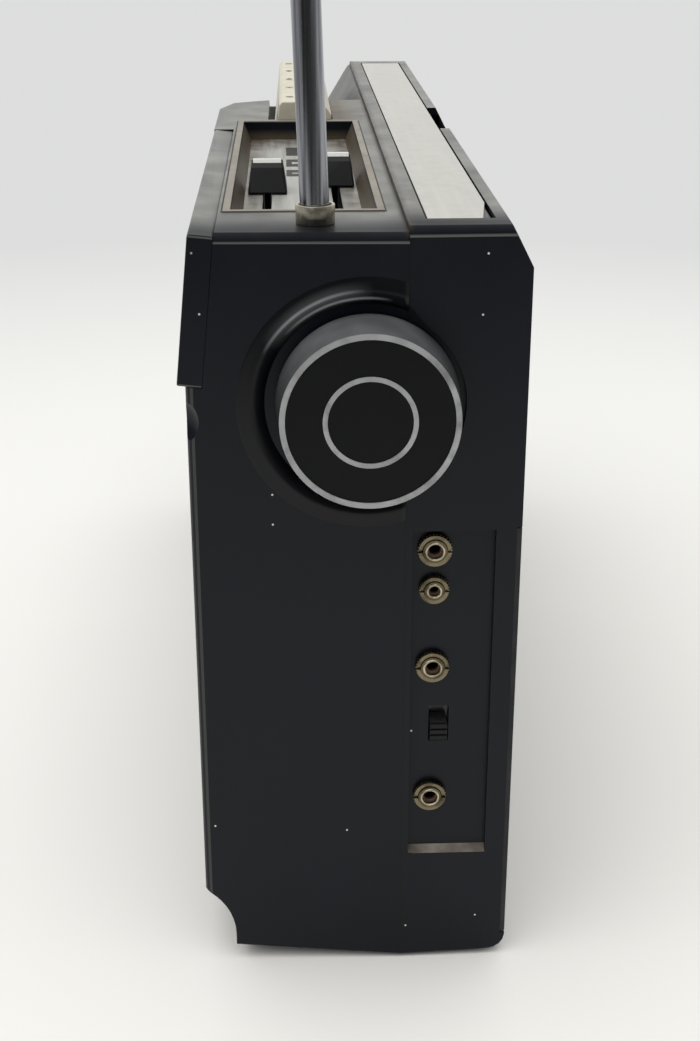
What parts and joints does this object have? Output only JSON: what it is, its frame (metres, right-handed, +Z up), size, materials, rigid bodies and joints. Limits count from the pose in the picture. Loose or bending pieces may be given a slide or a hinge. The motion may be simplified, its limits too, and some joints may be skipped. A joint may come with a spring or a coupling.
{
  "type": "radio cassette recorder",
  "caption": "Portable radio cassette recorder with a black moulded case, end tuning knob, slide controls on top, piano keys, telescopic antenna and pull-up handle.",
  "frame": {"origin": "centre of the box's footprint, on the surface that the feet stand on", "axes": "+Z up, -Y out of the front with the dial and loudspeaker, +X out of the end with the tuning knob"},
  "size_m": [0.3484, 0.0798, 0.2989],
  "materials": {
    "case_black": "moulded satin black plastic",
    "trim_black": "smooth black plastic",
    "key_cream": "aged cream plastic",
    "clear": "clear plastic window",
    "scale_print": "printed dial plate",
    "pointer_red": "painted needle",
    "silver_plate": "printed silver plate",
    "handle_alu": "satin aluminium strip",
    "chrome": "polished tube",
    "nickel": "aged nickel on brass",
    "steel": "zinc plated steel",
    "board": "phenolic board",
    "ferrite": "ferrite rod",
    "rubber": "black rubber",
    "paper_cone": "pressed paper cone",
    "magnet": "ceramic magnet",
    "white_plastic": "nylon spindle"
  },
  "bodies": {
    "case": {"front_case": "case_black", "rear_case": "case_black", "dial_housing": "case_black", "dial_window": "clear", "dial_scale": "scale_print", "control_plate": "silver_plate", "volume_pot": "steel", "tone_pot": "steel", "tuning_bush": "nickel", "tuning_capacitor": "steel", "main_board": "board", "ferrite_antenna": "ferrite", "antenna_collar": "nickel", "microphone_jack": "nickel", "remote_jack": "nickel", "line_jack": "nickel", "earphone_jack": "nickel", "jack_nuts": "nickel", "slide_switch": "steel", "key_rod": "steel", "mechanism_plate": "steel", "motor": "steel", "drive_belt": "rubber", "speaker_frame": "steel", "speaker_cone": "paper_cone", "speaker_magnet": "magnet", "speaker_grille": "case_black", "microphone": "steel", "battery_contacts": "steel", "case_screws": "steel", "feet": "rubber"},
    "tuning": {"tuning_knob": "trim_black", "knob_rings": "handle_alu", "tuning_shaft": "nickel"},
    "pointer": {"dial_pointer": "pointer_red"},
    "volume": {"volume_knob": "trim_black"},
    "tone": {"tone_knob": "trim_black"},
    "record": {"record_key": "key_cream"},
    "play": {"play_key": "key_cream"},
    "rewind": {"rewind_key": "key_cream"},
    "forward": {"forward_key": "key_cream"},
    "stop": {"stop_key": "key_cream"},
    "switch": {"switch_lever": "trim_black"},
    "handle": {"handle_bar": "case_black", "handle_trim": "handle_alu"},
    "antenna_1": {"antenna_tube": "chrome"},
    "antenna_2": {"antenna_middle": "chrome"},
    "antenna_3": {"antenna_upper": "chrome"},
    "antenna_4": {"antenna_tip": "chrome"},
    "door": {"cassette_door": "case_black", "cassette_window": "clear"},
    "lid": {"battery_lid": "case_black"},
    "supply_reel": {"supply_spindle": "white_plastic"},
    "take_up_reel": {"take_up_spindle": "white_plastic"},
    "heads": {"head_bridge": "steel"},
    "roller": {"pinch_roller": "rubber"},
    "flywheel": {"flywheel": "nickel"},
    "motor_rotor": {"motor_pulley": "nickel"}
  },
  "joints": [
    {"name": "tuning_turn", "type": "hinge", "parent": "case", "child": "tuning", "pos_m": [0.1618, 0.00333, 0.153], "axis": [1, 0, 0], "range_deg": [-270, 270]},
    {"name": "pointer_slide", "type": "slide", "parent": "case", "child": "pointer", "axis": [1, 0, 0], "range_m": [-0.05, 0.05]},
    {"name": "volume_slide", "type": "slide", "parent": "case", "child": "volume", "axis": [1, 0, 0], "range_m": [-0.049, 0.046]},
    {"name": "tone_slide", "type": "slide", "parent": "case", "child": "tone", "axis": [1, 0, 0], "range_m": [-0.0395, 0.0555]},
    {"name": "record_press", "type": "hinge", "parent": "case", "child": "record", "pos_m": [-0.1082, 0.01893, 0.1702], "axis": [1, 0, 0], "range_deg": [0, 7], "stiffness_Nm_per_rad": 0.6, "springref_deg": -5.73},
    {"name": "play_press", "type": "hinge", "parent": "case", "child": "play", "pos_m": [-0.1082, 0.01893, 0.1702], "axis": [1, 0, 0], "range_deg": [0, 7], "stiffness_Nm_per_rad": 0.6, "springref_deg": -5.73},
    {"name": "rewind_press", "type": "hinge", "parent": "case", "child": "rewind", "pos_m": [-0.1082, 0.01893, 0.1702], "axis": [1, 0, 0], "range_deg": [0, 7], "stiffness_Nm_per_rad": 0.6, "springref_deg": -5.73},
    {"name": "forward_press", "type": "hinge", "parent": "case", "child": "forward", "pos_m": [-0.1082, 0.01893, 0.1702], "axis": [1, 0, 0], "range_deg": [0, 7], "stiffness_Nm_per_rad": 0.6, "springref_deg": -5.73},
    {"name": "stop_press", "type": "hinge", "parent": "case", "child": "stop", "pos_m": [-0.1082, 0.01893, 0.1702], "axis": [1, 0, 0], "range_deg": [0, 7], "stiffness_Nm_per_rad": 0.6, "springref_deg": -5.73},
    {"name": "switch_slide", "type": "slide", "parent": "case", "child": "switch", "axis": [0, 0, 1], "range_m": [0, 0.0042]},
    {"name": "handle_lift", "type": "slide", "parent": "case", "child": "handle", "axis": [0, 0, 1], "range_m": [0, 0.032]},
    {"name": "antenna_lift", "type": "slide", "parent": "case", "child": "antenna_1", "axis": [0, -0.0349, 0.9994], "range_m": [-0.094, 0.055]},
    {"name": "antenna_middle_pull", "type": "slide", "parent": "antenna_1", "child": "antenna_2", "axis": [0, -0.0349, 0.9994], "range_m": [0, 0.14]},
    {"name": "antenna_upper_pull", "type": "slide", "parent": "antenna_2", "child": "antenna_3", "axis": [0, -0.0349, 0.9994], "range_m": [0, 0.14]},
    {"name": "antenna_tip_pull", "type": "slide", "parent": "antenna_3", "child": "antenna_4", "axis": [0, -0.0349, 0.9994], "range_m": [0, 0.14]},
    {"name": "door_open", "type": "hinge", "parent": "case", "child": "door", "pos_m": [-0.1082, -0.03607, 0.0882], "axis": [1, 0, 0], "range_deg": [0, 40]},
    {"name": "lid_open", "type": "hinge", "parent": "case", "child": "lid", "pos_m": [-0.0062, 0.03933, 0.0076], "axis": [-1, 0, 0], "range_deg": [0, 80]},
    {"name": "supply_turn", "type": "hinge", "parent": "case", "child": "supply_reel", "pos_m": [-0.12945, -0.01807, 0.1136], "axis": [0, 1, 0], "continuous": true},
    {"name": "take_up_turn", "type": "hinge", "parent": "case", "child": "take_up_reel", "pos_m": [-0.08695, -0.01807, 0.1136], "axis": [0, 1, 0], "continuous": true},
    {"name": "head_slide", "type": "slide", "parent": "case", "child": "heads", "axis": [0, 0, 1], "range_m": [-0.0045, 0]},
    {"name": "roller_turn", "type": "hinge", "parent": "heads", "child": "roller", "pos_m": [-0.0842, -0.02607, 0.1482], "axis": [0, 1, 0], "continuous": true},
    {"name": "flywheel_turn", "type": "hinge", "parent": "case", "child": "flywheel", "pos_m": [-0.0842, 0.00493, 0.1382], "axis": [0, 1, 0], "continuous": true},
    {"name": "motor_turn", "type": "hinge", "parent": "case", "child": "motor_rotor", "pos_m": [-0.0682, 0.00493, 0.0982], "axis": [0, 1, 0], "continuous": true}
  ],
  "couplings": [
    {"joint": "pointer_slide", "follows": "tuning_turn", "m_per_rad": 0.0106},
    {"joint": "head_slide", "follows": "play_press", "m_per_rad": -0.0368},
    {"joint": "motor_turn", "follows": "flywheel_turn", "ratio": 6}
  ]
}
